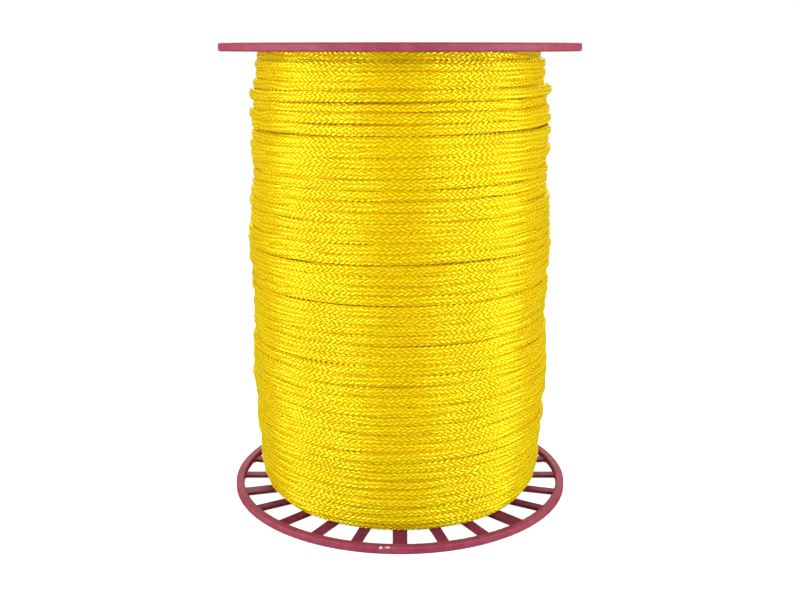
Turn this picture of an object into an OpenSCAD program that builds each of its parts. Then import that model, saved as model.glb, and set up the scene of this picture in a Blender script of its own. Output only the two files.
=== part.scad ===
/* [Spool] */
// Overall height over both flanges
spool_h = 260; // [180:1:340]

/* [Flange] */
// Outer diameter of a flange
flange_d = 200; // [190:1:240]
// Height of the rim
rim_h = 4.4; // [3.5:0.1:8]
// Radial width of the rim
rim_w = 4.8; // [3:0.1:6]
// Rounding of the rim's edges
rim_edge_r = 1.1; // [0.3:0.1:1.4]
// Groups of spokes round the flange
spoke_groups = 3; // [2:1:3]
// Spokes in a group
spokes_per_group = 8; // [6:1:8]
// Place in its group of the second wide spoke, the first being at 0
second_wide_spoke = 3; // [1:1:5]
// Thickness of the spokes and the hub plate
spoke_t = 1.8; // [1.4:0.1:3]
// Width of a narrow spoke at the rim
spoke_w = 5.4; // [4:0.1:6.4]
// How much wider a spoke is at the hub than at the rim
spoke_flare = 0.6; // [0:0.1:1]
// How much wider the wide spokes are than the narrow ones
wide_extra = 2.4; // [0:0.1:2.8]
// Fillet where a spoke runs into the rim
rim_fillet_r = 1.3; // [1:0.1:3.5]
// Fillet where a spoke runs into the hub plate
hub_fillet_r = 1.2; // [0.5:0.1:1.5]

/* [Hub] */
// Diameter of the arbor bore
bore_d = 36; // [20:0.5:44]
// Wall of the arbor sleeve
sleeve_wall = 2.4; // [1.6:0.1:4]
// Height of the arbor sleeve
sleeve_h = 20; // [12:0.5:30]
// Chamfer at both mouths of the bore
bore_chamfer = 0.8; // [0.3:0.1:1.2]
// Height of the spigot that goes into the core tube
spigot_h = 26; // [20:0.5:40]
// Wall of the spigot
spigot_wall = 2.4; // [1.6:0.1:3.5]
// Lead-in chamfer on the spigot
spigot_chamfer = 1; // [0.4:0.1:1.5]
// How far the hub plate reaches past the core tube
hub_margin = 4; // [2:0.1:8]
// Webs between the sleeve and the spigot for each staple
webs_per_staple = 2; // [1:1:3]
// Width of a web in the hub plate
web_w = 9; // [5:0.5:11]
// Fillet at both ends of a web
web_fillet_r = 2; // [0.5:0.1:3]
// Thickness of the upright rib on a web
rib_t = 1.8; // [1.2:0.1:3]
// Height of the upright rib on a web
rib_h = 15; // [8:0.5:20]
// Radius of the crush ribs on the spigot
crush_rib_r = 0.7; // [0.5:0.1:1.2]

/* [Core tube] */
// Inside diameter of the tube
tube_id = 76; // [70:0.5:90]
// Wall of the tube
tube_wall = 4; // [2.5:0.1:6]
// Height of the rope's starting hole above the end of the spigot
start_hole_up = 42; // [38:0.5:60]

/* [Staples] */
// Staples at each end of the tube
staples = 3; // [2:1:3]
// Length of a staple's crown
staple_crown = 12; // [8:0.5:14]
// Width of the flat staple wire
wire_w = 2.3; // [1.5:0.1:3]
// Thickness of the flat staple wire
wire_t = 0.9; // [0.6:0.1:1.2]
// Length of each clinched tip
clinch = 4; // [2:0.1:5]

/* [Rope] */
// Diameter of the rope
rope_d = 5; // [4:0.1:7]
// Largest diameter of the wound rope
pack_d = 176; // [150:1:178]
// How much the wound rope tapers from its belly towards its ends, on the radius
belly_drop = 3.5; // [0:0.1:5]
// How far the belly lies below the middle, as a share of half the height
belly_low = 0.2; // [0:0.05:0.4]
// How much further in the last turns at the lower flange lie, on the radius
low_end_drop = 7.5; // [0:0.1:9]
// How much further in the last turns at the upper flange lie, on the radius
high_end_drop = 2; // [0:0.1:9]
// Height of the slow swells along the wound rope, on the radius
swell = 0.9; // [0:0.1:1.2]
// Turns from one swell to the next
swell_turns = 14.7; // [8:0.1:30]
// How far single turns stand in and out
lay_wobble = 0.6; // [0:0.1:1]
// Distance between layers as a share of the rope's diameter
layer_step = 0.88; // [0.8:0.01:1]
// Bend of the rope's start inside the tube, in rope diameters
start_bend = 2; // [1.5:0.1:2.2]
// Length of the rope's start that hangs below its bend
start_tail = 24; // [10:1:26]

/* [Clearances] */
// Between the crush ribs and the tube
press_gap = 0.05; // [0.02:0.01:0.2]
// Between the spigot's wall and the tube
spigot_gap = 0.4; // [0.2:0.05:0.5]
// Round the staples in the tube and the spigot
staple_gap = 0.05; // [0.02:0.01:0.2]
// Between the rope and what it lies on
rope_gap = 0.1; // [0.05:0.05:0.3]
// Round the rope in its starting hole
hole_gap = 0.4; // [0.2:0.05:1]

/* [Hidden] */
$fn = 96;
maroon = [0.62, 0.22, 0.33];
board_brown = [0.66, 0.52, 0.36];
copper_wire = [0.72, 0.45, 0.30];
rope_yellow = [0.96, 0.80, 0.05];
front = -90;
cut = 0.5;
fillet_bite = 0.05;

flange_r = flange_d / 2;
rim_in_r = flange_r - rim_w;
spoke_count = spoke_groups * spokes_per_group;
bore_r = bore_d / 2;
sleeve_r = bore_r + sleeve_wall;
tube_in_r = tube_id / 2;
tube_r = tube_in_r + tube_wall;
tube_h = spool_h - 2 * spoke_t;
spigot_r = tube_in_r - spigot_gap;
spigot_in_r = spigot_r - spigot_wall;
hub_r = tube_r + hub_margin;
webs = staples * webs_per_staple;
web_angle = 360 / webs;
crush_ribs = 2 * webs;

// A staple stands upright half-way up the spigot, midway between two webs
staple_z = (spoke_t + spigot_h) / 2;
staple_first = front + web_angle / 2;
staple_out_r = tube_r;
staple_in_r = spigot_in_r - staple_gap - wire_t;

// Rope: turns lie between the spokes of the two flanges
rope_r = rope_d / 2;
rope_low = spoke_t + rope_gap;
traverse = spool_h - 2 * rope_low;
turns = floor(traverse / rope_d);
turn_pitch = (traverse - rope_d) / (turns - 1);
rope_in_r = tube_r + rope_gap;
belly_r = pack_d / 2 - rope_r - swell - lay_wobble;
end_power = 14;
wobble_step = 137;

// Height and radius of the middle of outer turn number t, counted from the lower flange
function turn_z(t) = rope_low + rope_r + t * turn_pitch;
function from_middle(t) = 2 * t / (turns - 1) - 1;
function lay(t) = swell * cos(360 * t / swell_turns) + lay_wobble * sin(wobble_step * t);
function end_drop(t) = from_middle(t) < 0 ? low_end_drop : high_end_drop;
function turn_r(t) =
    belly_r - belly_drop * pow(from_middle(t) + belly_low, 2)
    - end_drop(t) * pow(from_middle(t), end_power) + lay(t);

// Middle radius of each layer's last turn, from the tube out to the outer layer
first_layer_r = rope_in_r + rope_r;
function layers_at(t) = round((turn_r(t) - first_layer_r) / (rope_d * layer_step));
function layer_r(t, j) = first_layer_r + j * (turn_r(t) - first_layer_r) / layers_at(t);

// The rope's start goes in through the tube's wall, bends down and hangs inside the tube
start_z = spoke_t + spigot_h + start_hole_up;
start_angle = 90;
start_bend_r = start_bend * rope_d;

// The corner between a spoke's edge and a round wall, filled to a fillet of radius r.
// The spoke lies along +X, and its edge is at half_w. The wall is a rim outside the
// fillet where side is -1, and a hub inside it where side is 1. The fillet runs on into both.
module root_fillet(wall_r, half_w, r, side, run_on) {
    seat_r = wall_r - side * fillet_bite;
    seat_w = half_w - fillet_bite;
    middle_r = seat_r + side * r;
    middle = [sqrt(pow(middle_r, 2) - pow(seat_w + r, 2)), seat_w + r];
    touch = middle * seat_r / middle_r;
    behind = [touch.x - side * run_on, touch.y];
    difference() {
        polygon([middle, touch, behind, [behind.x, half_w - cut], [middle.x, half_w - cut]]);
        translate(middle)
            circle(r);
    }
}

// A flat bar along +X between two round walls, with a fillet at each of its corners.
// It runs on into both walls, so that it meets the flat of a wall with rounded edges.
module spoke_outline(from_r, to_r, from_w, to_w, from_fillet, to_fillet, run_on = cut) {
    polygon([
        [from_r - run_on, -from_w / 2], [to_r + run_on, -to_w / 2],
        [to_r + run_on, to_w / 2], [from_r - run_on, from_w / 2]
    ]);
    for (edge = [0, 1])
        mirror([0, edge]) {
            root_fillet(from_r, from_w / 2, from_fillet, 1, run_on);
            root_fillet(to_r, to_w / 2, to_fillet, -1, run_on);
        }
}

module ring_outline(outer_r, inner_r) {
    difference() {
        circle(outer_r);
        circle(inner_r);
    }
}

// The flat of the moulding: spokes, hub plate and the webs that carry the arbor sleeve
module flange_web() {
    linear_extrude(spoke_t) {
        for (k = [0 : spoke_count - 1]) {
            place = k % spokes_per_group;
            extra = place == 0 || place == second_wide_spoke ? wide_extra : 0;
            w = spoke_w + extra;
            rotate(front + k * 360 / spoke_count)
                spoke_outline(hub_r, rim_in_r, w + spoke_flare, w, hub_fillet_r, rim_fillet_r, rim_w / 2);
        }
        for (k = [0 : webs - 1])
            rotate(front + k * web_angle)
                spoke_outline(sleeve_r, spigot_in_r, web_w, web_w, web_fillet_r, web_fillet_r);
        ring_outline(hub_r, spigot_in_r);
    }
}

// The rim: a ring with rounded edges that stands up from the spokes on the rope's side
module flange_rim() {
    rotate_extrude()
        translate([rim_in_r, 0]) {
            translate([0, rim_edge_r])
                square([rim_w, rim_h - 2 * rim_edge_r]);
            translate([rim_edge_r, 0])
                square([rim_w - 2 * rim_edge_r, rim_h]);
            for (x = [rim_edge_r, rim_w - rim_edge_r], y = [rim_edge_r, rim_h - rim_edge_r])
                translate([x, y])
                    circle(rim_edge_r);
        }
}

// The arbor sleeve, with a chamfer at each mouth of its bore
module arbor_sleeve() {
    rotate_extrude()
        polygon([
            [bore_r + bore_chamfer, 0], [sleeve_r, 0], [sleeve_r, sleeve_h],
            [bore_r + bore_chamfer, sleeve_h], [bore_r, sleeve_h - bore_chamfer],
            [bore_r, bore_chamfer]
        ]);
}

// The spigot that the core tube is pressed on, with a lead-in at its end
module spigot() {
    top = spoke_t + spigot_h;
    rotate_extrude()
        polygon([
            [spigot_in_r, 0], [spigot_r, 0], [spigot_r, top - spigot_chamfer],
            [spigot_r - spigot_chamfer, top], [spigot_in_r, top]
        ]);
    for (k = [0 : crush_ribs - 1])
        rotate(front + (k + 0.5) * 360 / crush_ribs + web_angle / 2)
            translate([tube_in_r - press_gap - crush_rib_r, 0, spoke_t - cut])
                cylinder(r = crush_rib_r, h = spigot_h - 2 * spigot_chamfer + cut);
}

// Upright ribs that stiffen the webs between the sleeve and the spigot
module web_ribs() {
    for (k = [0 : webs - 1])
        rotate(front + k * web_angle)
            translate([sleeve_r - cut, -rib_t / 2, 0])
                cube([spigot_in_r - sleeve_r + 2 * cut, rib_t, spoke_t + rib_h]);
}

// A clinched staple in flat wire: crown outside the tube, tips folded over inside the spigot.
// Grown by gap it is the slot that the staple lies in.
module staple(gap = 0) {
    deep = staple_out_r - staple_in_r;
    opening = staple_crown - 2 * (wire_t + clinch);
    rotate([90, 0, 0])
        linear_extrude(wire_w + 2 * gap, center = true)
            difference() {
                translate([staple_in_r - gap, -staple_crown / 2 - gap])
                    square([deep + 2 * gap, staple_crown + 2 * gap]);
                translate([staple_in_r + wire_t + gap, -staple_crown / 2 + wire_t + gap])
                    square([deep - 2 * (wire_t + gap), staple_crown - 2 * (wire_t + gap)]);
                translate([staple_in_r - gap - cut, -opening / 2 + gap])
                    square([wire_t + 2 * gap + 2 * cut, opening - 2 * gap]);
            }
}

module staple_ring(gap = 0) {
    for (k = [0 : staples - 1])
        rotate(staple_first + k * 360 / staples)
            translate([0, 0, staple_z])
                staple(gap);
}

module flange() {
    color(maroon)
        difference() {
            union() {
                flange_rim();
                flange_web();
                arbor_sleeve();
                spigot();
                web_ribs();
            }
            staple_ring(staple_gap);
        }
}

// The same moulding and staples serve the upper end, turned over
module turned_over() {
    translate([0, 0, spool_h])
        rotate([180, 0, 0])
            children();
}

module lower_flange() {
    flange();
}

module upper_flange() {
    turned_over()
        flange();
}

// Spiral-wound board tube, stapled to both spigots, with a hole for the rope's start
module core_tube() {
    color(board_brown)
        difference() {
            translate([0, 0, spoke_t])
                linear_extrude(tube_h)
                    ring_outline(tube_r, tube_in_r);
            staple_ring(staple_gap);
            turned_over()
                staple_ring(staple_gap);
            rotate(start_angle)
                translate([tube_in_r - tube_wall, 0, start_z])
                    rotate([0, 90, 0])
                        cylinder(r = rope_r + hole_gap, h = 3 * tube_wall);
        }
}

module lower_staples() {
    color(copper_wire)
        staple_ring();
}

module upper_staples() {
    color(copper_wire)
        turned_over()
            staple_ring();
}

// All the turns of the rope as one ring: a bead for each turn of the outer layer,
// and for the last turn of each layer below it at both flanges
module rope_winding() {
    last = turns - 1;
    color(rope_yellow)
        rotate_extrude() {
            polygon(concat(
                [[rope_in_r, turn_z(last)], [rope_in_r, turn_z(0)]],
                [for (t = [0 : last]) [turn_r(t), turn_z(t)]]
            ));
            for (t = [0 : last])
                translate([turn_r(t), turn_z(t)])
                    circle(rope_r);
            for (t = [0, last], j = [0 : layers_at(t) - 1])
                translate([layer_r(t, j), turn_z(t)])
                    circle(rope_r);
        }
}

// The rope's start, from the first layer through the tube's wall to its cut end
module rope_start() {
    through = rope_in_r - rope_gap - tube_in_r;
    color(rope_yellow)
        rotate(start_angle)
            translate([tube_in_r, 0, start_z]) {
                rotate([0, 90, 0])
                    cylinder(r = rope_r, h = through);
                translate([0, 0, -start_bend_r])
                    rotate([90, 0, 0])
                        rotate([0, 0, 90])
                            rotate_extrude(angle = 90)
                                translate([start_bend_r, 0])
                                    circle(rope_r);
                translate([-start_bend_r, 0, -start_bend_r - start_tail])
                    cylinder(r = rope_r, h = start_tail);
            }
}

lower_flange();
upper_flange();
core_tube();
lower_staples();
upper_staples();
rope_winding();
rope_start();
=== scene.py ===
import math

import bpy
import numpy as np
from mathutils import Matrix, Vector


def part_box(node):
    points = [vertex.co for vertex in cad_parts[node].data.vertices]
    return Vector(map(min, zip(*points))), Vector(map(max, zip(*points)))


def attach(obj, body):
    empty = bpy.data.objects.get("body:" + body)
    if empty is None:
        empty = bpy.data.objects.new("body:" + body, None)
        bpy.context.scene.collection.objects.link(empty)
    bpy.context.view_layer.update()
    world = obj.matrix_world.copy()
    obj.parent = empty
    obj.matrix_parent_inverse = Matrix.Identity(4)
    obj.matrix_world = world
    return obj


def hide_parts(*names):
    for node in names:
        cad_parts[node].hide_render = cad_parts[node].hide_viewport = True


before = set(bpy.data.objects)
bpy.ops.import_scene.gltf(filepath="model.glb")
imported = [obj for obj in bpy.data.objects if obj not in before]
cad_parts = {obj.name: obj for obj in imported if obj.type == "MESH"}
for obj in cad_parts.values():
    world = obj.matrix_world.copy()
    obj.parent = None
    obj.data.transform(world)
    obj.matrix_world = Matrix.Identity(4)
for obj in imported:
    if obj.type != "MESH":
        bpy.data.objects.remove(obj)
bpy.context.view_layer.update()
mm = 0.001
noiseLow, noiseHigh = 0.3, 0.7  # noise textures mostly stay between these
scene = bpy.context.scene


def linear(hexColour):
    # sRGB to linear light: c / 12.92 in the toe, ((c + 0.055) / 1.055) ^ 2.4 above it
    shares = [int(hexColour[i:i + 2], 16) / 255 for i in (1, 3, 5)]
    return [c / 12.92 if c <= 0.04045 else ((c + 0.055) / 1.055) ** 2.4 for c in shares] + [1.0]


def addNode(tree, kind, inputs=None, stops=None, **settings):
    # one node: settings are its properties, inputs are plain values or the nodes and sockets that feed it
    node = tree.nodes.new(kind)
    for key, value in settings.items():
        setattr(node, key, value)
    for key, value in (inputs or {}).items():
        source = value.outputs[0] if isinstance(value, bpy.types.Node) else value
        if isinstance(source, bpy.types.NodeSocket):
            tree.links.new(source, node.inputs[key])
        else:
            node.inputs[key].default_value = source
    if stops:
        marks = node.color_ramp.elements
        marks[0].position, marks[-1].position = stops[0][0], stops[-1][0]
        for place, _ in stops[1:-1]:
            marks.new(place)
        for mark, (_, colour) in zip(marks, stops):
            mark.color = linear(colour)
    return node


def newFinish(name):
    finish = bpy.data.materials.new(name)
    finish.use_nodes = True
    finish.node_tree.nodes.clear()
    return finish, finish.node_tree


# camera: level with the upper flange, so that it is seen edge-on, and tipped down at the winding
viewpoint = {
    "away": 576.55,        # mm from the axis
    "height": 257.85,      # mm above the spool's foot
    "tipDown": 14.152,     # degrees
    "lens": 45.15,         # mm
    "sensor": 36.0,        # mm
}

camera = bpy.data.objects.new("camera", bpy.data.cameras.new("camera"))
camera.data.lens = viewpoint["lens"]
camera.data.sensor_width = viewpoint["sensor"]
camera.location = (0, -viewpoint["away"] * mm, viewpoint["height"] * mm)
camera.rotation_euler = (math.radians(90 - viewpoint["tipDown"]), 0, 0)
scene.collection.objects.link(camera)
scene.camera = camera

# braid of the rope: strands lie both ways round it, and each shows for one band of the way round
braid = {
    "ropeWidth": 5.0,      # mm
    "bands": 8,            # shares of the way round, strands of one hand and then of the other
    "stitch": 3.25,        # mm along the rope from one strand of a band to the next
    "ringsPerStitch": 5.2,
    "meanRadius": 2.58,    # mm, middle of the relief
    "lift": 0.34,          # mm, how far a strand rises over those that it crosses
    "crown": 0.46,         # mm, how high a strand's back is
    "press": 2.8,          # power of the section's superellipse: 2 is round, more is squarer
    "spread": 1.08,        # how much wider the rope is towards the turns beside it
    "rolls": 1.6,          # bands, slow rolling of the rope along its length
    "rollReach": 450,      # rings over which the rolling changes
    "slack": 0.26,         # stitches, how unevenly the strands were pulled
    "slackReach": 12,      # rings over which the pull changes
    "stray": 0.22,         # bands, how far the stitches wander to the side
    "strayReach": 9,       # rings over which the wandering changes
    "sideFrom": 0.55,      # radians from the crown, where a side of the rope starts
    "sideOver": 0.8,       # radians over which it becomes all side
}
# columns of the rope's section, degrees from its crown: fine where it is seen, coarse where it is hidden
fineColumns = np.radians(np.arange(-90, 91, 12))
hiddenColumns = np.radians([132, 180, 228])
columnAngles = np.concatenate([fineColumns, hiddenColumns])


def bell(values, reach):
    # running mean weighted by a bell curve, 3 reaches to each side, with the ends held
    weights = np.exp(-0.5 * (np.arange(-3 * reach, 3 * reach + 1) / reach) ** 2)
    padded = np.pad(values, 3 * reach, mode="edge")
    return np.convolve(padded, weights / weights.sum(), mode="valid")


def unevenness(count, reach, seed):
    # seeded noise, smooth over a reach of samples, with a spread of one
    noise = bell(np.random.default_rng(seed).standard_normal(count), reach)
    return (noise - noise.mean()) / noise.std()


def ease(x):
    # smooth step from 0 to 1: 3x^2 - 2x^3
    x = np.clip(x, 0, 1)
    return x * x * (3 - 2 * x)


def braidRelief(along, around):
    # left and right strands have parabolic backs; a cosine of the way round lifts one hand over the other
    lifted = braid["lift"] * np.cos(np.pi * (around - 0.25))
    leftBack = 1 - (2 * ((around - along) % 1) - 1) ** 2
    rightBack = 1 - (2 * ((around + along) % 1) - 1) ** 2
    return np.maximum(lifted + braid["crown"] * leftBack, -lifted + braid["crown"] * rightBack)


# over one stitch and two bands, after which the relief repeats
meanRelief = braidRelief(*np.meshgrid(np.linspace(0, 1, 41), np.linspace(0, 2, 81))).mean()


def braidedTube(centre, outward, facing, columns, seed):
    # a superelliptic section carried along the centre line, with the braid's relief on its radius
    step = np.linalg.norm(np.diff(centre, axis=0), axis=1)
    length = np.concatenate([[0], np.cumsum(step)])
    count = len(length)
    tangent = np.gradient(centre, axis=0)
    tangent /= np.linalg.norm(tangent, axis=1, keepdims=True)
    sideA = outward - tangent * np.sum(outward * tangent, axis=1, keepdims=True)
    sideA /= np.linalg.norm(sideA, axis=1, keepdims=True)
    sideB = np.cross(sideA, tangent)
    angle = facing[:, None] + columns[None, :]
    roll = braid["rolls"] * unevenness(count, braid["rollReach"], seed)
    pull = braid["slack"] * unevenness(count, braid["slackReach"], seed + 1)
    roll = roll + braid["stray"] * unevenness(count, braid["strayReach"], seed + 2)
    along = np.repeat((length / braid["stitch"] + pull)[:, None], len(columns), axis=1)
    around = angle * braid["bands"] / (2 * np.pi) + roll[:, None]
    power = braid["press"]
    sideways = np.abs(np.sin(angle)) / braid["spread"]
    squared = (np.abs(np.cos(angle)) ** power + sideways ** power) ** (-1 / power)
    radius = braid["meanRadius"] * squared + braidRelief(along, around) - meanRelief
    points = centre[:, None, :] + radius[:, :, None] * (
        np.cos(angle)[:, :, None] * sideA[:, None, :] + np.sin(angle)[:, :, None] * sideB[:, None, :]
    )
    # how far a column lies down the sides, where the rope meets the turns beside it: the mask of the painted
    # light in the grooves
    sideLightMask = np.clip((np.abs(columns) - braid["sideFrom"]) / braid["sideOver"], 0, 1)
    return points, along, around, np.broadcast_to(sideLightMask, along.shape)


def ropePiece(name, points, along, around, sideLightMask, node, finish):
    # quads between neighbouring rings and columns, closed round the tube and capped at both ends
    rings, columns = points.shape[:2]
    ring, column = np.meshgrid(np.arange(rings - 1), np.arange(columns), indexing="ij")
    cornerRing = np.stack([ring, ring + 1, ring + 1, ring], axis=-1)
    cornerColumn = np.stack([column, column, column + 1, column + 1], axis=-1)
    corners = (cornerRing * columns + cornerColumn % columns).reshape(-1)
    caps = np.concatenate([np.arange(columns), (rings - 1) * columns + np.arange(columns)[::-1]])
    quads = (rings - 1) * columns
    mesh = bpy.data.meshes.new(name)
    mesh.vertices.add(rings * columns)
    mesh.vertices.foreach_set("co", (points * mm).astype(np.float32).ravel())
    mesh.loops.add(corners.size + caps.size)
    mesh.loops.foreach_set("vertex_index", np.concatenate([corners, caps]).astype(np.int32))
    mesh.polygons.add(quads + 2)
    starts = np.concatenate([np.arange(quads) * 4, corners.size + np.array([0, columns])])
    mesh.polygons.foreach_set("loop_start", starts.astype(np.int32))
    mesh.polygons.foreach_set("use_smooth", np.arange(quads + 2) < quads)
    mesh.update(calc_edges=True)

    # braid map: stitches along, bands around, with the last column carried on past the seam
    turned = np.concatenate([around, around[:, :1] + braid["bands"]], axis=1)
    stitches = along[:, :1] - braid["bands"] * np.floor(along[0, 0] / braid["bands"])
    braidMap = np.stack([stitches[cornerRing, 0], turned[cornerRing, cornerColumn]], axis=-1).reshape(-1, 2)
    # bake map: the tube cut into strips, one above the other, on a square
    margin = 0.03  # share of a strip that stays free along each edge
    strips = max(1, round(math.sqrt(rings / columns)))
    perStrip = math.ceil((rings - 1) / strips)
    strip = (ring // perStrip)[..., None]
    alongStrip = (cornerRing - strip * perStrip) / perStrip
    acrossStrip = (strip + margin + (1 - 2 * margin) * cornerColumn / columns) / strips
    bakeMap = np.stack([alongStrip, acrossStrip], axis=-1).reshape(-1, 2)
    for mapName, values in (("braid", braidMap), ("OFBake", bakeMap)):
        layer = mesh.uv_layers.new(name=mapName)
        capValues = np.repeat(values[:1], caps.size, axis=0)
        layer.uv.foreach_set("vector", np.concatenate([values, capValues]).astype(np.float32).ravel())
    sides = mesh.attributes.new("sideLightMask", "FLOAT", "POINT")
    sides.data.foreach_set("value", sideLightMask.astype(np.float32).ravel())
    mesh.materials.append(finish)
    piece = bpy.data.objects.new(name, mesh)
    scene.collection.objects.link(piece)
    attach(piece, "root")
    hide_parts(node)
    return piece


# finish of the rope
ropeLook = {
    # shades run from painted shade in the pits up to a painted highlight along the strand backs
    "shades": [(0.05, "#C48A00"), (0.25, "#DEAC00"), (0.5, "#ECC800"), (0.85, "#F8E600")],  # from pit to back
    # the light line on a strand's back is a painted highlight
    "backPower": 2.5,           # more makes the light line on a strand's back thinner
    "backShare": (0.3, 0.5),    # of the level: everywhere, and added where the strand lies on top
    "topShare": 0.2,            # of the level, across the whole strand where it lies on top
    "yarnTone": (0.77, 1.07),
    # the second yarn's extra lightness is a painted highlight
    "secondYarn": 0.14,         # how much lighter the second yarn of a pair is
    "ageTone": (0.88, 1.08),
    "agePatch": 25,             # mm
    # painted light on the rope's sides: its orange, how much of it shows, least and most, and its patches
    "paintedSideLight": "#F2BA00",
    "sideFill": (0.3, 0.85),
    "sidePatch": 5,             # mm
    "sideNoise": (0.38, 0.62),  # closer together makes the dashes sharper
    "plump": (0.8, 1.2),        # how high a yarn stands
    "ridges": 4,                # to a strand
    "ridgeHeight": 0.02,        # mm
    "bump": 0.7,
    "roughness": (0.44, 0.28),  # from pit to back
    "gleam": "#DCFF78",
}


def braidedPolypropylene():
    # multifilament polypropylene, braided over a core: glossy strand backs with dark pits where strands
    # cross; the pits' darkness is painted shade and each back carries a painted highlight line
    finish, tree = newFinish("braided polypropylene rope")
    place = addNode(tree, "ShaderNodeUVMap", uv_map="braid")
    way = addNode(tree, "ShaderNodeSeparateXYZ", {0: place})
    along, around = way.outputs[0], way.outputs[1]
    turn = addNode(tree, "ShaderNodeMath", {0: around, 1: math.pi, 2: -math.pi / 4}, operation="MULTIPLY_ADD")
    wave = addNode(tree, "ShaderNodeMath", {0: turn}, operation="COSINE")
    # the same relief as the mesh has: each hand's strand, raised and lowered by the wave
    hands = []
    for operation, lift in (("SUBTRACT", braid["lift"]), ("ADD", -braid["lift"])):
        phase = addNode(tree, "ShaderNodeMath", {0: around, 1: along}, operation=operation)
        share = addNode(tree, "ShaderNodeMath", {0: phase}, operation="FRACT")
        across = addNode(tree, "ShaderNodeMath", {0: share, 1: 2.0, 2: -1.0}, operation="MULTIPLY_ADD")
        square = addNode(tree, "ShaderNodeMath", {0: across, 1: across}, operation="MULTIPLY")
        back = addNode(tree, "ShaderNodeMath", {0: square, 1: -braid["crown"], 2: braid["crown"]},
                       operation="MULTIPLY_ADD")
        height = addNode(tree, "ShaderNodeMath", {0: wave, 1: lift, 2: back}, operation="MULTIPLY_ADD")
        hands.append((height, across, phase))
    (leftHeight, leftAcross, leftPhase), (rightHeight, rightAcross, rightPhase) = hands
    height = addNode(tree, "ShaderNodeMath", {0: leftHeight, 1: rightHeight}, operation="MAXIMUM")
    leftTop = addNode(tree, "ShaderNodeMath", {0: leftHeight, 1: rightHeight}, operation="GREATER_THAN")
    across = addNode(tree, "ShaderNodeMix", {0: leftTop, 2: rightAcross, 3: leftAcross})
    phase = addNode(tree, "ShaderNodeMix", {0: leftTop, 2: rightPhase, 3: leftPhase})
    # a strand is painted lightest in a thin line along its back, a painted highlight, and dark at its sides,
    # painted shade,
    # darkest where the hands change places: the painted shade of the pits
    square = addNode(tree, "ShaderNodeMath", {0: across, 1: across}, operation="MULTIPLY")
    over = addNode(tree, "ShaderNodeMath", {0: wave}, operation="ABSOLUTE")
    back = addNode(tree, "ShaderNodeMath", {0: square, 1: -1.0, 2: 1.0}, operation="MULTIPLY_ADD")
    line = addNode(tree, "ShaderNodeMath", {0: back, 1: ropeLook["backPower"]}, operation="POWER")
    least, onTop = ropeLook["backShare"]
    share = addNode(tree, "ShaderNodeMath", {0: over, 1: onTop, 2: least}, operation="MULTIPLY_ADD")
    hump = addNode(tree, "ShaderNodeMath", {0: line, 1: share}, operation="MULTIPLY")
    level = addNode(tree, "ShaderNodeMath", {0: over, 1: ropeLook["topShare"], 2: hump},
                    operation="MULTIPLY_ADD")
    # each strand is its own yarn, a little lighter or darker than the next
    strand = addNode(tree, "ShaderNodeMath", {0: phase}, operation="FLOOR")
    band = addNode(tree, "ShaderNodeMath", {0: around}, operation="ROUND")
    stitch = addNode(tree, "ShaderNodeCombineXYZ", {0: strand, 1: band})
    yarn = addNode(tree, "ShaderNodeTexWhiteNoise", {"Vector": stitch}, noise_dimensions="2D")
    low, high = ropeLook["yarnTone"]
    single = addNode(tree, "ShaderNodeMapRange", {0: yarn, 3: low, 4: high})
    # yarns lie in pairs, and the second of a pair is painted lighter: a painted highlight for the light it
    # catches
    second = addNode(tree, "ShaderNodeMath", {0: strand, 1: 2.0}, operation="FLOORED_MODULO")
    tone = addNode(tree, "ShaderNodeMath", {0: second, 1: ropeLook["secondYarn"], 2: single},
                   operation="MULTIPLY_ADD")
    # slow change of tone along the winding
    spot = addNode(tree, "ShaderNodeTexCoord")
    cloud = addNode(tree, "ShaderNodeTexNoise", {
        "Vector": spot.outputs["Object"], "Scale": 1 / (ropeLook["agePatch"] * mm)})
    low, high = ropeLook["ageTone"]
    age = addNode(tree, "ShaderNodeMapRange", {0: cloud, 1: noiseLow, 2: noiseHigh, 3: low, 4: high})
    bright = addNode(tree, "ShaderNodeMath", {0: tone, 1: age}, operation="MULTIPLY")
    depth = addNode(tree, "ShaderNodeMath", {0: level, 1: bright}, operation="MULTIPLY")
    # this ramp paints shade into the pits and a highlight along the strand backs
    shade = addNode(tree, "ShaderNodeValToRGB", {0: depth}, stops=ropeLook["shades"])
    # painted light: the sides of the rope, down into the grooves between turns, are painted a lighter orange,
    # standing in for light that goes through the filaments, so that the grooves stay orange;
    # it comes and goes in patches, so that the grooves break up into dashes
    gaps = addNode(tree, "ShaderNodeTexNoise", {
        "Vector": spot.outputs["Object"], "Scale": 1 / (ropeLook["sidePatch"] * mm)})
    shut, clear = ropeLook["sideNoise"]
    low, high = ropeLook["sideFill"]
    sideLightPatches = addNode(tree, "ShaderNodeMapRange", {0: gaps, 1: shut, 2: clear, 3: low, 4: high})
    sideLightMask = addNode(tree, "ShaderNodeAttribute", attribute_name="sideLightMask")
    fill = addNode(tree, "ShaderNodeMath", {0: sideLightMask.outputs["Fac"], 1: sideLightPatches}, operation="MULTIPLY")
    colour = addNode(tree, "ShaderNodeMix", {0: fill, 6: shade, 7: linear(ropeLook["paintedSideLight"])},
                     data_type="RGBA")
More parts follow.
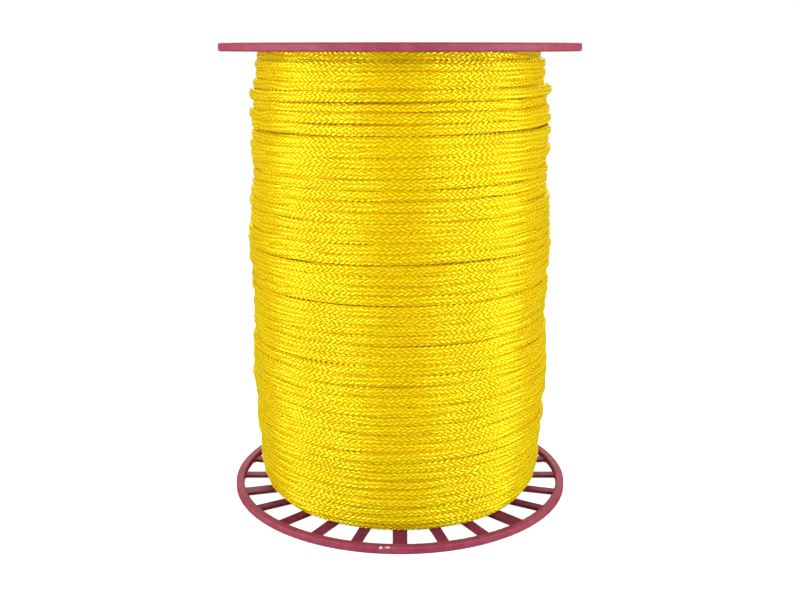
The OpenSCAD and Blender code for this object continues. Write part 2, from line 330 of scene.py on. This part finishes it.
    # filaments run with the strand; the real ones are 0.05 mm, drawn as a few ridges so that they show
    ripple = ropeLook["ridges"] * math.pi
    ridge = addNode(tree, "ShaderNodeMath", {0: across, 1: ripple}, operation="MULTIPLY")
    ridges = addNode(tree, "ShaderNodeMath", {0: ridge}, operation="SINE")
    low, high = ropeLook["plump"]
    plump = addNode(tree, "ShaderNodeMapRange", {0: yarn, 3: low, 4: high})
    backs = addNode(tree, "ShaderNodeMath", {0: height, 1: plump}, operation="MULTIPLY")
    relief = addNode(tree, "ShaderNodeMath", {0: ridges, 1: ropeLook["ridgeHeight"], 2: backs},
                     operation="MULTIPLY_ADD")
    bump = addNode(tree, "ShaderNodeBump", {"Height": relief, "Strength": ropeLook["bump"], "Distance": mm})
    inPit, onBack = ropeLook["roughness"]
    gloss = addNode(tree, "ShaderNodeMapRange", {0: level, 3: inPit, 4: onBack})
    # the filaments spread the gleam across themselves, so that it stands in upright bands on the winding;
    # a share of metal gives the coloured lustre of clear dyed filaments
    grainWay = addNode(tree, "ShaderNodeTangent", direction_type="UV_MAP", uv_map="braid")
    shader = addNode(tree, "ShaderNodeBsdfPrincipled", {
        "Base Color": colour.outputs[2], "Roughness": gloss, "IOR": 1.49, "Normal": bump, "Tangent": grainWay,
        "Anisotropic": 0.9, "Anisotropic Rotation": 0.25, "Specular IOR Level": 1.0, "Metallic": 0.36,
        "Specular Tint": linear(ropeLook["gleam"])})
    addNode(tree, "ShaderNodeOutputMaterial", {"Surface": shader})
    return finish


ropeFinish = braidedPolypropylene()

# outer layer of the winding: its girth follows the solid's rule, its turns lie as unevenly as in the photo
winding = {
    "turns": 48,                # a little looser than the layers below
    "startAt": 90,              # degrees round, at the back
    "bellyDrop": 3.5,           # mm of taper from the belly to the ends
    "bellyLow": 0.2,            # how far below the middle the belly is, in half heights
    "lowDrop": 7.5,             # mm further in at the lower flange
    "highDrop": 2.0,            # mm further in at the upper flange
    "endPower": 14,             # more keeps the drop closer to the flanges
    "swell": 0.9,               # mm, slow swells
    "swellTurns": 13.8,
    "wobble": 0.6,              # mm, single turns in and out in the solid
    "samples": 240,             # to a turn
    "rise": (0.22, 0.18),       # mm, unevenness of height, slow and quick
    "bulge": (0.4, 0.25),       # mm, unevenness of radius, slow and quick
    "reach": (60, 9),           # samples, a quarter of a turn and about a twenty-seventh
    "proudReach": 0.55,         # turns over which a proud or sunk turn fades out
    "partReach": 2.5,           # turns over which a parting fades out
    "closest": 5.0,             # mm, how near the middles of two turns may come
    "clear": (0.35, 2.0),       # mm, how much further in from the lower and upper flange than the solid
    "rounds": 160,              # of pushing apart
    "fallBack": 0.05,           # share of the way back to the girth in a round
    "stiff": 3,                 # samples or rings over which the line is smoothed
    "firstDive": (4.6, 0.16),   # mm deep, turns long
    "lastDive": (5.2, 0.10),    # mm deep, turns long
    "lastTuck": 3.0,            # mm downwards
    "endFacing": 50,            # degrees that the fine columns turn towards the flanges
    "pieces": 9,
    "seed": 21,
}
# turns that stand proud of the rest or lie sunk between them: number of the turn, mm on the radius
proudTurns = [(44.2, -2.0), (43.1, 1.0), (42.0, -2.2), (37.4, 0.7), (31.6, 0.5), (22.6, 0.4), (19.3, -0.5),
              (17.4, -0.5), (12.8, 0.8), (9.7, -0.9), (8.1, 0.6), (2.5, -0.6)]
# places where two turns part and show the layer below: turn, degrees round, half the length in degrees, mm
partings = [(45.5, -85, 10, 1.0), (44.5, -140, 14, 0.7), (42.5, -40, 10, 1.0), (41.5, -30, 12, 1.1),
            (38.5, -20, 9, 1.1), (39.5, -138, 14, 0.8), (33.5, -50, 12, 1.0), (32.5, -27, 14, 1.0),
            (28.5, -32, 12, 1.3), (24.5, -66, 10, 1.1), (17.5, -113, 16, 0.9), (15.5, -93, 12, 1.0),
            (7.5, -52, 12, 0.9), (2.5, -60, 20, 0.9), (0.5, -90, 60, 0.7)]
packLow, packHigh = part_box("rope_winding")
ropeR = braid["ropeWidth"] / 2
lowTurn = packLow.z / mm + ropeR
highTurn = packHigh.z / mm - ropeR
turnPitch = (highTurn - lowTurn) / (winding["turns"] - 1)
bellyR = packHigh.x / mm - ropeR - winding["swell"] - winding["wobble"]


def girth(turn):
    # belly radius less a parabola of taper and a steep drop at the flanges, plus a cosine of swells
    x = 2 * turn / (winding["turns"] - 1) - 1
    taper = winding["bellyDrop"] * (x + winding["bellyLow"]) ** 2
    drop = np.where(x < 0, winding["lowDrop"], winding["highDrop"]) * x ** winding["endPower"]
    return bellyR - taper - drop + winding["swell"] * np.cos(2 * np.pi * turn / winding["swellTurns"])


def layTurns():
    # a helix with seeded unevenness; turns that come too close push apart, then fall back to the girth
    per = winding["samples"]
    count = winding["turns"] * per + 1
    travel = np.arange(count) / per
    turn = np.clip(travel - 0.5, 0, winding["turns"] - 1)
    aim = girth(turn)
    height = lowTurn + turnPitch * turn
    for k, reach in enumerate(winding["reach"]):
        aim += winding["bulge"][k] * unevenness(count, reach, winding["seed"] + 10 * k)
        height += winding["rise"][k] * unevenness(count, reach, winding["seed"] + 10 * k + 5)
    for middle, stands in proudTurns:
        aim += stands * np.exp(-((turn - middle) / winding["proudReach"]) ** 2)
    for middle, degrees, span, opening in partings:
        degreesOff = (winding["startAt"] + 360 * travel - degrees + 180) % 360 - 180
        away = turn - middle
        fade = np.exp(-np.abs(away) / winding["partReach"] - (degreesOff / span) ** 2)
        height += opening / 2 * np.sign(away) * fade
    radius = aim.copy()
    lowest, highest = lowTurn + winding["clear"][0], highTurn - winding["clear"][1]
    for _ in range(winding["rounds"]):
        up = height[per:] - height[:-per]
        out = radius[per:] - radius[:-per]
        apart = np.hypot(up, out)
        push = np.maximum(winding["closest"] - apart, 0) / (2 * apart)
        rises, spreads = np.zeros((2, count))
        rises[:-per] -= push * up
        rises[per:] += push * up
        spreads[:-per] -= push * out
        spreads[per:] += push * out
        height = np.clip(height + bell(rises, winding["stiff"]), lowest, highest)
        radius += bell(spreads, winding["stiff"]) + winding["fallBack"] * (aim - radius)
    return travel, radius, height


travel, layRadius, layHeight = layTurns()
ringsPerTurn = round(2 * math.pi * bellyR / braid["stitch"] * braid["ringsPerStitch"])
fineTravel = np.arange(winding["turns"] * ringsPerTurn + 1) / ringsPerTurn
radius = bell(np.interp(fineTravel, travel, layRadius), winding["stiff"])
height = bell(np.interp(fineTravel, travel, layHeight), winding["stiff"])
# both ends dive at the back: the first comes up from the layer below, the last is tucked under its neighbour
firstDepth, firstTurns = winding["firstDive"]
lastDepth, lastTurns = winding["lastDive"]
firstDive = 1 - ease(fineTravel / firstTurns)
lastDive = 1 - ease((winding["turns"] - fineTravel) / lastTurns)
radius -= firstDepth * firstDive + lastDepth * lastDive
height -= winding["lastTuck"] * lastDive
azimuth = np.radians(winding["startAt"]) + 2 * np.pi * fineTravel
outward = np.stack([np.cos(azimuth), np.sin(azimuth), np.zeros_like(azimuth)], axis=1)
centre = radius[:, None] * outward + height[:, None] * np.array([0.0, 0.0, 1.0])
# the fine columns look outwards, and towards the flange on the first and last turns
towardsFlange = ease(fineTravel - winding["turns"] + 2) - ease(2 - fineTravel)
facing = np.radians(winding["endFacing"]) * towardsFlange
laid = braidedTube(centre, outward, facing, columnAngles, winding["seed"] + 2)
for k, turnsHere in enumerate(np.array_split(np.arange(winding["turns"]), winding["pieces"])):
    run = slice(turnsHere[0] * ringsPerTurn, (turnsHere[-1] + 1) * ringsPerTurn + 1)
    ropePiece(f"ropeTurns_{k + 1}", *[values[run] for values in laid], "rope_winding", ropeFinish)
outerLength = np.linalg.norm(np.diff(centre, axis=0), axis=1).sum() / 1000
print(f"outer layer: {winding['turns']} turns, {outerLength:.1f} m, {laid[0].size // 3} points")

# layer under the outer one: it shows only in the gaps, as beads half a turn along
underLayer = {
    "deeper": 4.4,         # mm
    "thick": 8.0,          # mm
    "beadPoints": 4,
    "beadHalf": 75,        # degrees to each side of a bead's top
    "sides": 120,
    "bandsPerColumn": 0.7,
}

beadTurn = np.arange(winding["turns"] - 1) + 0.5
beadAngle = np.radians(np.linspace(-underLayer["beadHalf"], underLayer["beadHalf"], underLayer["beadPoints"]))
beadR = girth(beadTurn)[:, None] - underLayer["deeper"] + ropeR * np.cos(beadAngle)[None, :]
beadRise = turnPitch / 2 * np.sin(beadAngle)[None, :] / np.sin(beadAngle[-1])
beadZ = lowTurn + turnPitch * beadTurn[:, None] + beadRise
profileR, profileZ = beadR.ravel(), beadZ.ravel()
sideAngle = 2 * np.pi * np.arange(underLayer["sides"] + 1) / underLayer["sides"]
# rings go round the spool, columns up the profile and back down inside it
underR = np.concatenate([profileR, profileR[[-1, 0]] - underLayer["thick"]])
underZ = np.concatenate([profileZ, profileZ[[-1, 0]]])
underPoints = np.stack([
    np.cos(sideAngle)[:, None] * underR, np.sin(sideAngle)[:, None] * underR,
    np.repeat(underZ[None, :], len(sideAngle), axis=0)], axis=-1)
underAlong = np.repeat((sideAngle * bellyR / braid["stitch"])[:, None], len(underR), axis=1)
underBands = np.arange(len(underR)) * underLayer["bandsPerColumn"]
underAround = np.repeat(underBands[None, :], len(sideAngle), axis=0)
underSideLightMask = np.zeros_like(underAlong)
ropePiece("ropeUnderLayer", underPoints, underAlong, underAround, underSideLightMask, "rope_winding", ropeFinish)

# last turns of the layers below, which show between the spokes: each pair climbs from one layer to the next
endTurns = {
    "step": 4.4,           # mm from layer to layer
    "stagger": 2.1,        # mm that every other layer lies further from the flange
    "climb": 0.09,         # turns
    "hug": 0.62,           # turns to each side of the climb that lie against the flange
    "over": 1.12,          # turns to each side of the climb in all
    "wander": 0.25,        # mm
    "wanderReach": 120,    # rings over which the wandering changes
    "offTube": 0.1,        # mm
    "startAt": 90,         # degrees round
    "turnOn": 137,         # degrees from the start of one layer to that of the next
    "ringsPerStitch": 3.6,
    "seed": 60,
}
endColumns = np.radians([-84, -63, -42, -21, 0, 21, 42, 63, 84, 125, 180, 235])

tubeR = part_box("core_tube")[1].x / mm
firstLayer = tubeR + endTurns["offTube"] + ropeR


def endCoil(name, innerLayer, layers, outerR, flangeZ, inwards, start, seed):
    # two turns against a flange; the radius eases from layer to layer, and both ends lift off into the pack
    pitch = (outerR - firstLayer) / layers
    coilLength = 2 * endTurns["over"] * 2 * math.pi * (firstLayer + pitch * (innerLayer + 0.5))
    count = round(coilLength / braid["stitch"] * endTurns["ringsPerStitch"])
    way = np.linspace(-endTurns["over"], endTurns["over"], count)
    crossed = ease(way / (2 * endTurns["climb"]) + 0.5)
    ringR = firstLayer + pitch * (innerLayer + crossed)
    off = [endTurns["stagger"] * ((layers - layer) % 2) for layer in (innerLayer, innerLayer + 1)]
    lift = off[0] + (off[1] - off[0]) * crossed
    lift = lift + turnPitch * ease((np.abs(way) - endTurns["hug"]) / (endTurns["over"] - endTurns["hug"]))
    angle = start + 2 * np.pi * way
    radial = np.stack([np.cos(angle), np.sin(angle), np.zeros_like(angle)], axis=1)
    wander = endTurns["wander"] * unevenness(count, endTurns["wanderReach"], seed)
    line = (ringR + wander)[:, None] * radial
    line[:, 2] = flangeZ + inwards * lift
    face = np.full(count, -inwards * np.pi / 2)
    return ropePiece(name, *braidedTube(line, radial, face, endColumns, seed + 1), "rope_winding", ropeFinish)


ends = [("Low", lowTurn, 1, 0), ("High", highTurn, -1, winding["turns"] - 1)]
for endName, flangeZ, inwards, edgeTurn in ends:
    edgeR = girth(np.array([float(edgeTurn)]))[0]
    layers = round((edgeR - firstLayer) / endTurns["step"])
    for layer in range(layers % 2, layers, 2):
        start = math.radians(endTurns["startAt"] + endTurns["turnOn"] * layer)
        coilName = f"ropeEnd{endName}_{layer // 2 + 1}"
        endCoil(coilName, layer, layers, edgeR, flangeZ, inwards, start, endTurns["seed"] + layer)
    print(f"end turns {endName}: {layers} layers")

# the rope's start: through the tube's wall at the back, round a bend and down to its heat-sealed end
ropeStart = {
    "bend": 10.0,          # mm
    "sealed": 1.0,         # mm of the end that is melted round
    "tip": 0.25,           # share of the section that is left at the tip
    "seed": 90,
}

startLow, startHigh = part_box("rope_start")
holeZ = startHigh.z / mm - ropeR
endZ = startLow.z / mm
wallOut = startHigh.y / mm
tailY = startLow.y / mm + ropeR
bendY = tailY + ropeStart["bend"]
straight = wallOut - bendY
tail = holeZ - ropeStart["bend"] - endZ
quarter = ropeStart["bend"] * np.pi / 2
way = np.arange(0, straight + quarter + tail, braid["stitch"] / braid["ringsPerStitch"])
bent = np.clip((way - straight) / ropeStart["bend"], 0, np.pi / 2)
startY = wallOut - np.minimum(way, straight) - ropeStart["bend"] * np.sin(bent)
startZ = holeZ - ropeStart["bend"] * (1 - np.cos(bent)) - np.maximum(way - straight - quarter, 0)
startLine = np.stack([np.zeros_like(way), startY, startZ], axis=1)
sideways = np.repeat(np.array([[1.0, 0.0, 0.0]]), len(way), axis=0)
roundColumns = np.radians(np.arange(0, 360, 12))
startPoints, startAlong, startAround, _ = braidedTube(
    startLine, sideways, np.zeros(len(way)), roundColumns, ropeStart["seed"])
# the sealed end is round: the section shrinks as a quarter circle
toEnd = np.clip((way[-1] - way) / ropeStart["sealed"], 0, 1)
shrink = ropeStart["tip"] + (1 - ropeStart["tip"]) * np.sqrt(1 - (1 - toEnd) ** 2)
startPoints = startLine[:, None, :] + (startPoints - startLine[:, None, :]) * shrink[:, None, None]
startSideLightMask = np.zeros_like(startAlong)
ropePiece("ropeStart", startPoints, startAlong, startAround, startSideLightMask, "rope_start", ropeFinish)
print("rope start laid")


# finish of the flanges, with the lower rim's two chips: middle in mm, half sizes in mm along and up the rim
flangeLook = {
    # spokes: a darker shade than the rim, painted shade as under the rope
    "spokes": [(0.3, "#70193B"), (0.5, "#761C3F"), (0.7, "#7E2044")],
    "rim": [(0.3, "#80253F"), (0.5, "#882A45"), (0.7, "#90344C")],
    "rimFrom": (92.0, 96.5),    # mm from the axis, where the rim's shade starts and is full
    "flowPatch": 18,            # mm
    "dustPatch": 5,             # mm
    "grain": 0.5,               # mm
    "chips": [((-10.0, -99.3, 3.8), (1.3, 0.75)), ((-6.7, -99.5, 4.0), (1.6, 0.5))],
    "chipShade": "#D2BFC4",
    "chipPatch": 0.6,           # mm
    "chipRagged": 2.6,          # how much the patches break up a chip's outline
    "chipEdge": (2.15, 1.85),   # from outside to inside
    "roughness": (0.7, 0.6),
    "bump": 0.12,
    "grainHeight": 0.05,        # mm
}


def mouldedPolypropylene():
    # injection-moulded maroon polypropylene: even satin skin; the spokes are painted a darker shade than the
    # rim, painted shade as under the rope, and the rim's shade varies in finer patches of dust
    finish, tree = newFinish("moulded maroon polypropylene")
    spot = addNode(tree, "ShaderNodeTexCoord")
    place = spot.outputs["Object"]
    flat = addNode(tree, "ShaderNodeVectorMath", {0: place, 1: (1, 1, 0)}, operation="MULTIPLY")
    fromAxis = addNode(tree, "ShaderNodeVectorMath", {0: flat}, operation="LENGTH")
    rimStart, rimFull = flangeLook["rimFrom"]
    onRim = addNode(tree, "ShaderNodeMapRange", {
        0: fromAxis.outputs["Value"], 1: rimStart * mm, 2: rimFull * mm}, interpolation_type="SMOOTHSTEP")
    # flow clouds, over which the rim's dust lies in finer patches
    cloud = addNode(tree, "ShaderNodeTexNoise", {
        "Vector": place, "Scale": 1 / (flangeLook["flowPatch"] * mm), "Detail": 3.0})
    dust = addNode(tree, "ShaderNodeTexNoise", {
        "Vector": place, "Scale": 1 / (flangeLook["dustPatch"] * mm), "Detail": 5.0})
    spokePaintedShade = addNode(tree, "ShaderNodeValToRGB", {0: cloud}, stops=flangeLook["spokes"])
    rimShade = addNode(tree, "ShaderNodeValToRGB", {0: dust}, stops=flangeLook["rim"])
    shade = addNode(tree, "ShaderNodeMix", {0: onRim, 6: spokePaintedShade, 7: rimShade}, data_type="RGBA")
    # chips knocked in the rim's edge show paler, ragged plastic
    ragged = addNode(tree, "ShaderNodeTexNoise", {
        "Vector": place, "Scale": 1 / (flangeLook["chipPatch"] * mm), "Detail": 3.0})
    colour = shade.outputs[2]
    chipShade = linear(flangeLook["chipShade"])
    outside, inside = flangeLook["chipEdge"]
    for middle, (halfLength, halfHeight) in flangeLook["chips"]:
        offset = addNode(tree, "ShaderNodeVectorMath", {0: place, 1: [c * mm for c in middle]},
                         operation="SUBTRACT")
        shares = [1 / (half * mm) for half in (halfLength, 2 * halfHeight, halfHeight)]
        within = addNode(tree, "ShaderNodeVectorMath", {0: offset, 1: shares}, operation="MULTIPLY")
        away = addNode(tree, "ShaderNodeVectorMath", {0: within}, operation="LENGTH")
        edge = addNode(tree, "ShaderNodeMath", {
            0: ragged, 1: flangeLook["chipRagged"], 2: away.outputs["Value"]}, operation="MULTIPLY_ADD")
        chip = addNode(tree, "ShaderNodeMapRange", {0: edge, 1: outside, 2: inside})
        mixed = addNode(tree, "ShaderNodeMix", {0: chip, 6: colour, 7: chipShade}, data_type="RGBA")
        colour = mixed.outputs[2]
    grain = addNode(tree, "ShaderNodeTexNoise", {
        "Vector": place, "Scale": 1 / (flangeLook["grain"] * mm), "Detail": 2.0})
    rough, smooth = flangeLook["roughness"]
    gloss = addNode(tree, "ShaderNodeMapRange", {0: cloud, 1: noiseLow, 2: noiseHigh, 3: rough, 4: smooth})
    bump = addNode(tree, "ShaderNodeBump", {
        "Height": grain, "Strength": flangeLook["bump"], "Distance": flangeLook["grainHeight"] * mm})
    shader = addNode(tree, "ShaderNodeBsdfPrincipled", {
        "Base Color": colour, "Roughness": gloss, "IOR": 1.49, "Specular IOR Level": 0.4, "Normal": bump})
    addNode(tree, "ShaderNodeOutputMaterial", {"Surface": shader})
    return finish


# finish of the core tube
boardLook = {
    "shades": [(0.3, "#8A6A45"), (0.5, "#A5825A"), (0.7, "#B9976C")],
    "plyPitch": 90,             # mm of height in a turn of the ply
    "fibre": 1.2,               # mm across the ply
    "fibreRun": 12,             # mm of height over which a fibre runs
    "seamShade": "#4E3A24",
    "seam": (0.008, 0.016),     # shares of the ply's width, where it starts to fade and where it is gone
    "seamDepth": 0.8,
    "bump": 0.3,
    "fibreHeight": 0.1,         # mm
}


def kraftBoard():
    # spiral-wound kraft board: matt brown plies with fibres along the winding and a dark seam each turn
    finish, tree = newFinish("spiral-wound kraft board")
    pitch = boardLook["plyPitch"]
    spot = addNode(tree, "ShaderNodeTexCoord")
    way = addNode(tree, "ShaderNodeSeparateXYZ", {0: spot.outputs["Object"]})
    angle = addNode(tree, "ShaderNodeMath", {0: way.outputs[1], 1: way.outputs[0]}, operation="ARCTAN2")
    # share of the ply's width: turns round plus height over the pitch, without the whole turns
    turns = addNode(tree, "ShaderNodeMath", {0: angle, 1: 1 / (2 * math.pi)}, operation="MULTIPLY")
    wound = addNode(tree, "ShaderNodeMath", {0: way.outputs[2], 1: 1 / (pitch * mm), 2: turns},
                    operation="MULTIPLY_ADD")
    ply = addNode(tree, "ShaderNodeMath", {0: wound}, operation="FRACT")
    fine = addNode(tree, "ShaderNodeMath", {0: ply, 1: pitch / boardLook["fibre"]}, operation="MULTIPLY")
    coarse = addNode(tree, "ShaderNodeMath", {0: way.outputs[2], 1: 1 / (boardLook["fibreRun"] * mm)},
                     operation="MULTIPLY")
    lay = addNode(tree, "ShaderNodeCombineXYZ", {0: fine, 1: coarse})
    fibres = addNode(tree, "ShaderNodeTexNoise", {"Vector": lay, "Scale": 1.0, "Detail": 4.0})
    board = addNode(tree, "ShaderNodeValToRGB", {0: fibres}, stops=boardLook["shades"])
    seamStart, seamEnd = boardLook["seam"]
    seam = addNode(tree, "ShaderNodeMapRange", {
        0: ply, 1: seamStart, 2: seamEnd, 3: boardLook["seamDepth"], 4: 0.0})
    shade = addNode(tree, "ShaderNodeMix", {0: seam, 6: board, 7: linear(boardLook["seamShade"])},
                    data_type="RGBA")
    bump = addNode(tree, "ShaderNodeBump", {
        "Height": fibres, "Strength": boardLook["bump"], "Distance": boardLook["fibreHeight"] * mm})
    shader = addNode(tree, "ShaderNodeBsdfPrincipled", {
        "Base Color": shade.outputs[2], "Roughness": 0.85, "Normal": bump})
    addNode(tree, "ShaderNodeOutputMaterial", {"Surface": shader})
    return finish


# finish of the staples
wireLook = {
    "shades": [(0.3, "#C98B62"), (0.7, "#A96B45")],
    "patch": 0.8,          # mm
    "roughness": (0.25, 0.45),
}


def copperedWire():
    # drawn steel wire with a copper wash: brownish metal, brighter and smoother where the wash is thin
    finish, tree = newFinish("copper-washed drawn steel wire")
    spot = addNode(tree, "ShaderNodeTexCoord")
    wash = addNode(tree, "ShaderNodeTexNoise", {
        "Vector": spot.outputs["Object"], "Scale": 1 / (wireLook["patch"] * mm)})
    shade = addNode(tree, "ShaderNodeValToRGB", {0: wash}, stops=wireLook["shades"])
    thin, thick = wireLook["roughness"]
    gloss = addNode(tree, "ShaderNodeMapRange", {0: wash, 3: thin, 4: thick})
    shader = addNode(tree, "ShaderNodeBsdfPrincipled", {
        "Base Color": shade, "Metallic": 1.0, "Roughness": gloss})
    addNode(tree, "ShaderNodeOutputMaterial", {"Surface": shader})
    return finish


# the rigid pieces keep their own meshes and take these finishes
flangeFinish = mouldedPolypropylene()
wireFinish = copperedWire()
nodeFinish = {
    "lower_flange": flangeFinish,
    "upper_flange": flangeFinish,
    "core_tube": kraftBoard(),
    "lower_staples": wireFinish,
    "upper_staples": wireFinish,
}
for nodeName, finish in nodeFinish.items():
    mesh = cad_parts[nodeName].data
    mesh.materials.clear()
    mesh.materials.append(finish)
print("finishes on", ", ".join(nodeFinish))

# studio: pale floor in a white surround, two narrow boxes to the sides of the camera,
# a weak wide one in front of the spool and a wide one behind it
studio = {
    "floor": 1.3,               # m
    "floorDown": 0.0004,        # m under the spool, so that the two faces don't fight
    "floorShades": [(0.3, "#B8B8B8"), (0.7, "#BEBEBE")],
    "floorFleck": 4,            # mm
    "floorReflected": "#505050",
    "floorGlow": 0.85,
    "around": "#EAEAEA",
    "overhead": "#9AA8C4",
    "cools": (0.15, 0.75),      # sines of the height, where the surround starts to cool and is coolest
    "reflected": "#606060",
    "target": (0, 0, 0.12),     # m, what the boxes point at
    "sideAngle": 62,            # degrees round from the camera
}
sideX = math.sin(math.radians(studio["sideAngle"]))
sideY = -math.cos(math.radians(studio["sideAngle"]))
# each box: m from the target, W, m wide and tall, tint
boxes = {
    "leftBox": ((-sideX, sideY, 0.15), 12, (0.22, 0.6), "#F4FFF0"),
    "rightBox": ((sideX, sideY, 0.15), 12, (0.22, 0.6), "#F4FFF0"),
    "frontBox": ((0.0, -0.92, 0.35), 1.6, (0.8, 0.5), "#FFF2E6"),
    "rearBox": ((0.0, 0.85, 0.6), 11, (0.9, 0.6), "#FFF2E6"),
}


def whiteFloor():
    # matt white studio paper; the glow is for the eye alone, so that no shade gathers on it
    finish, tree = newFinish("matt white studio paper")
    seen = addNode(tree, "ShaderNodeLightPath")
    glow = addNode(tree, "ShaderNodeMapRange", {0: seen.outputs["Is Camera Ray"], 4: studio["floorGlow"]})
    spot = addNode(tree, "ShaderNodeTexCoord")
    fleck = addNode(tree, "ShaderNodeTexNoise", {
        "Vector": spot.outputs["Object"], "Scale": 1 / (studio["floorFleck"] * mm)})
    shade = addNode(tree, "ShaderNodeValToRGB", {0: fleck}, stops=studio["floorShades"])
    paper = addNode(tree, "ShaderNodeMix", {
        0: seen.outputs["Is Glossy Ray"], 6: shade, 7: linear(studio["floorReflected"])}, data_type="RGBA")
    shader = addNode(tree, "ShaderNodeBsdfPrincipled", {
        "Base Color": paper.outputs[2], "Roughness": 0.9, "Specular IOR Level": 0.0,
        "Emission Color": (1, 1, 1, 1), "Emission Strength": glow})
    addNode(tree, "ShaderNodeOutputMaterial", {"Surface": shader})
    return finish


half = studio["floor"] / 2
floorCorners = [(-half, -half, 0), (half, -half, 0), (half, half, 0), (-half, half, 0)]
floorMesh = bpy.data.meshes.new("floor")
floorMesh.from_pydata(floorCorners, [], [(0, 1, 2, 3)])
floorMesh.materials.append(whiteFloor())
floor = bpy.data.objects.new("floor", floorMesh)
floor.location.z = -studio["floorDown"]
scene.collection.objects.link(floor)

surround = bpy.data.worlds.new("surround")
surround.use_nodes = True
skyTree = surround.node_tree
skyTree.nodes.clear()
seen = addNode(skyTree, "ShaderNodeLightPath")
# white all round, cooler and darker overhead
skyWay = addNode(skyTree, "ShaderNodeTexCoord")
lifted = addNode(skyTree, "ShaderNodeSeparateXYZ", {0: skyWay.outputs["Generated"]})
coolFrom, coolest = studio["cools"]
skyShade = addNode(skyTree, "ShaderNodeValToRGB", {0: lifted.outputs[2]}, stops=[
    (coolFrom, studio["around"]), (coolest, studio["overhead"])])
# dim to reflections, so that glossy edges keep their own colour, and plain white to the eye
dim = addNode(skyTree, "ShaderNodeMix", {
    0: seen.outputs["Is Glossy Ray"], 6: skyShade, 7: linear(studio["reflected"])}, data_type="RGBA")
skyTint = addNode(skyTree, "ShaderNodeMix", {
    0: seen.outputs["Is Camera Ray"], 6: dim.outputs[2], 7: (1, 1, 1, 1)}, data_type="RGBA")
sky = addNode(skyTree, "ShaderNodeBackground", {"Color": skyTint.outputs[2], "Strength": 1.0})
addNode(skyTree, "ShaderNodeOutputWorld", {"Surface": sky})
scene.world = surround

target = Vector(studio["target"])
for boxName, (place, power, (wide, tall), tint) in boxes.items():
    lamp = bpy.data.lights.new(boxName, "AREA")
    lamp.shape = "RECTANGLE"
    lamp.size = wide
    lamp.size_y = tall
    lamp.energy = power
    lamp.color = linear(tint)[:3]
    box = bpy.data.objects.new(boxName, lamp)
    box.location = target + Vector(place)
    box.rotation_euler = (target - box.location).to_track_quat("-Z", "Y").to_euler()
    scene.collection.objects.link(box)
scene.view_settings.view_transform = "Standard"
print("studio set")
